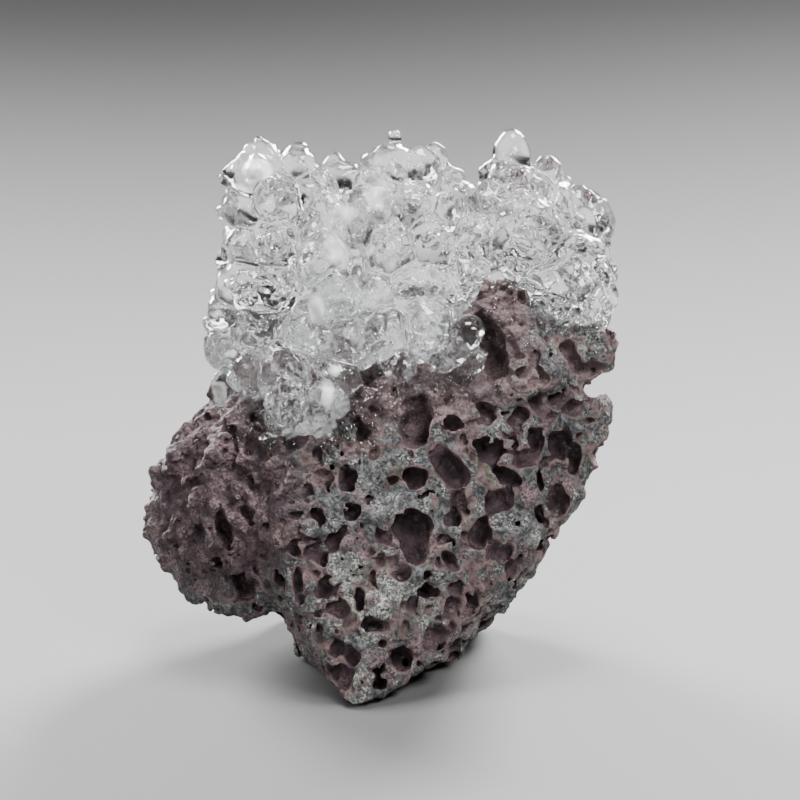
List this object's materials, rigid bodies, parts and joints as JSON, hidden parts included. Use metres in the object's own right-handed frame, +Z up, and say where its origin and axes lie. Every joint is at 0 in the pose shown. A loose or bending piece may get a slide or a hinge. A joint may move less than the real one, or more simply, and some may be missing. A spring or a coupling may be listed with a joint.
{
  "type": "hyalite opal on vesicular lava",
  "caption": "Clear, bubbly crust of hyalite opal grown over the top of a broken, wedge-shaped piece of vesicular lava that stands on its underside.",
  "frame": {"origin": "on the surface it stands on, under the middle of the piece's bounding box", "axes": "+Z up, the longest extent; +Y from the front view into the piece, the shortest extent; +X to the right in the front view"},
  "size_m": [0.0391, 0.0311, 0.0432],
  "materials": {
    "lava": "rough, broken, vesicular, purple-brown with grey granular faces",
    "hyalite": "glassy, clear and colourless, botryoidal"
  },
  "bodies": {
    "root": {"matrix": "lava", "hyalite": "hyalite"}
  },
  "joints": []
}
